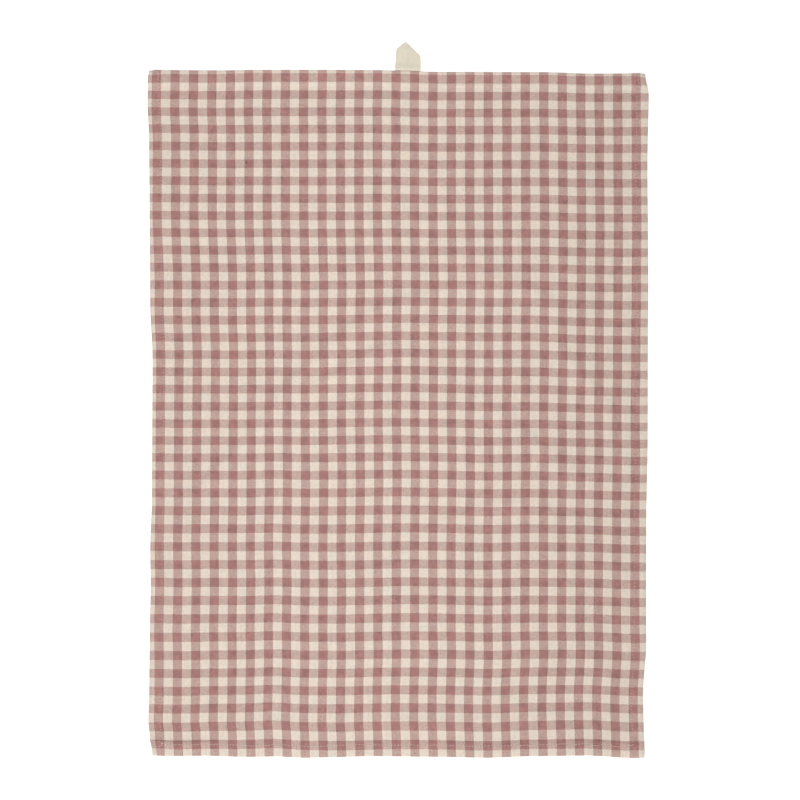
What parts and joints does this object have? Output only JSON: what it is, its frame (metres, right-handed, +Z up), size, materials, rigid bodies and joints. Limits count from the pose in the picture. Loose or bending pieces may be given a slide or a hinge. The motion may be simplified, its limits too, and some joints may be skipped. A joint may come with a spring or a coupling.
{
  "type": "tea towel",
  "caption": "Rectangular woven gingham kitchen cloth with narrow turned hems and a folded tape hanging loop, lying flat.",
  "frame": {"origin": "middle of the towel's outline, hanging loop included, on the surface that it lies on", "axes": "+X to the right across the width, +Y along the length towards the hanging loop, +Z up out of the cloth"},
  "size_m": [0.5055, 0.7222, 0.0031],
  "materials": {
    "cloth": "matte plain-weave cotton in rose and cream checks",
    "tape": "matte undyed cotton tape"
  },
  "bodies": {
    "root": {"towel_cloth": "cloth", "hanging_loop": "tape"}
  },
  "joints": []
}
